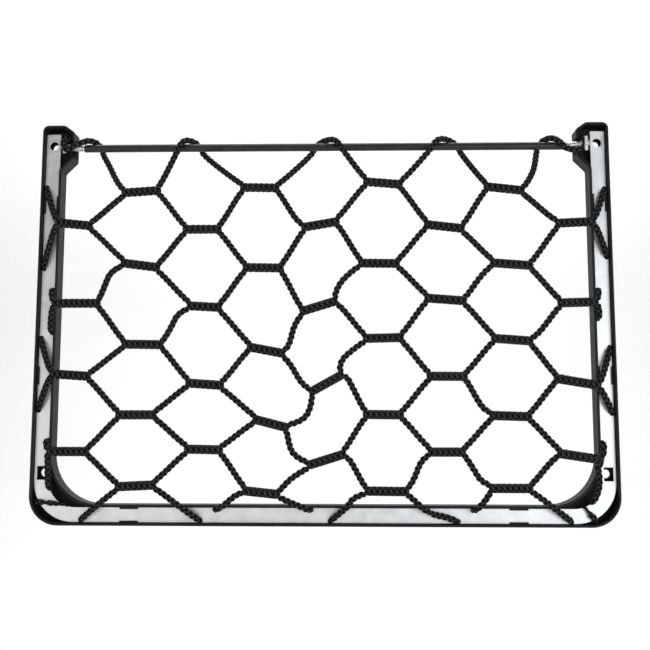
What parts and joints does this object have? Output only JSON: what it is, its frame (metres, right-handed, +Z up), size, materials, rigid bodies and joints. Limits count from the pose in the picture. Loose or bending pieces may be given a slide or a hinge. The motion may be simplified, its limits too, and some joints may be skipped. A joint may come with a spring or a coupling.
{
  "type": "elastic storage net in a wall-mounted frame",
  "caption": "Elastic cord net stretched between a spring-held top bar and a U-shaped channel frame that screws to a wall, for holding flat or loose items.",
  "frame": {"origin": "centre of the four fixing holes, on the wall plane", "axes": "+X along the top bar, +Z up, -Y away from the wall into the room"},
  "size_m": [0.45, 0.0183, 0.315],
  "materials": {
    "frame_plastic": "satin moulded black plastic",
    "strip_steel": "dull zinc-plated strip",
    "bar_coating": "satin black coating",
    "bright_steel": "bright drawn spring wire and turned steel",
    "cord": "black braided elastic cord"
  },
  "bodies": {
    "frame": {"frame_channel": "frame_plastic", "steel_strip": "strip_steel", "hook_plate_left": "strip_steel", "hook_plate_right": "strip_steel", "spring_left": "bright_steel", "spring_right": "bright_steel", "net_cord_01": "cord", "net_cord_02": "cord", "net_cord_03": "cord", "net_cord_04": "cord", "net_cord_05": "cord", "net_cord_06": "cord", "net_cord_07": "cord", "net_cord_08": "cord", "net_cord_09": "cord", "net_cord_10": "cord"},
    "bar": {"bar_tube": "bar_coating", "bar_plug_left": "bright_steel", "bar_plug_right": "bright_steel"}
  },
  "joints": [
    {"name": "bar_pull", "type": "slide", "parent": "frame", "child": "bar", "axis": [0, -1, 0], "range_m": [0, 0.025], "stiffness_N_per_m": 400, "deforming": ["spring_left", "spring_right", "net_cord_01"]}
  ]
}
